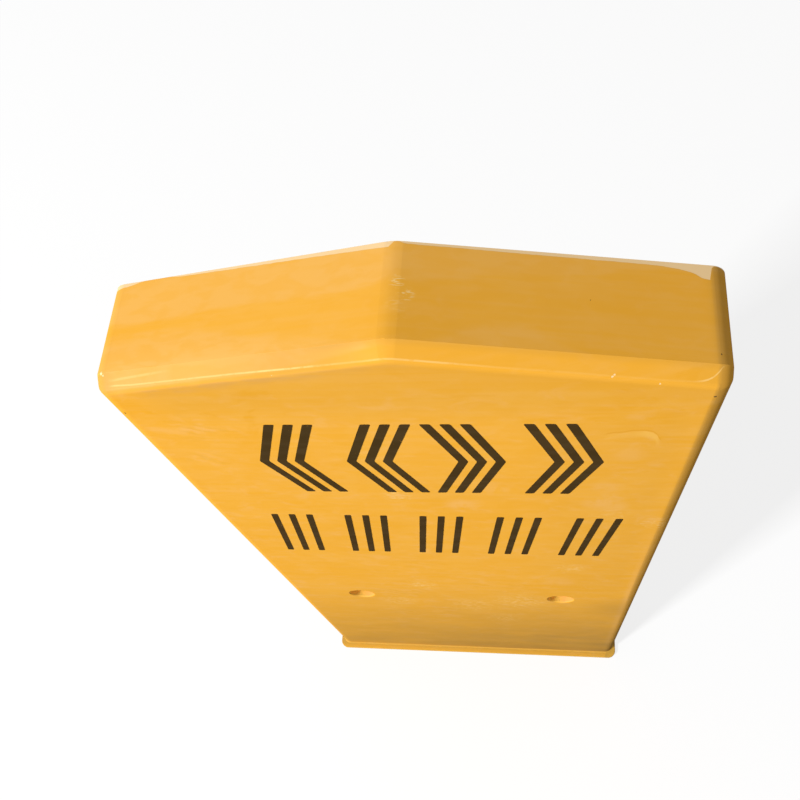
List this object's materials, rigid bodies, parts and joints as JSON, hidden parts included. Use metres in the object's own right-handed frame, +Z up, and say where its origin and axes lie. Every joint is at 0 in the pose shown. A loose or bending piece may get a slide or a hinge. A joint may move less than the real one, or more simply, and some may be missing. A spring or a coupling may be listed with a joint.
{
  "type": "utility marker post",
  "caption": "Upright hollow marker slab with a shallow gable top, a bevel along its front, rounded edges, through anchor sleeves low down and a turned-out foot.",
  "frame": {"origin": "on the ground, midway across the face and midway between the foot's front edge and the back face", "axes": "+Z up, -Y out of the front face, +X to the right of someone who looks at the front"},
  "size_m": [0.51, 0.11, 1.0499],
  "materials": {
    "gelcoat_yellow": "glossy orange-yellow gelcoat on glass-fibre laminate, with faint streaks and scuffs",
    "raw_laminate": "pale ground laminate and bonding paste, matt",
    "marking_paint": "dark brown-black marking paint, half matt, plain shapes only"
  },
  "bodies": {
    "root": {"moulded_shell": "gelcoat_yellow", "back_panel": "gelcoat_yellow"}
  },
  "joints": []
}
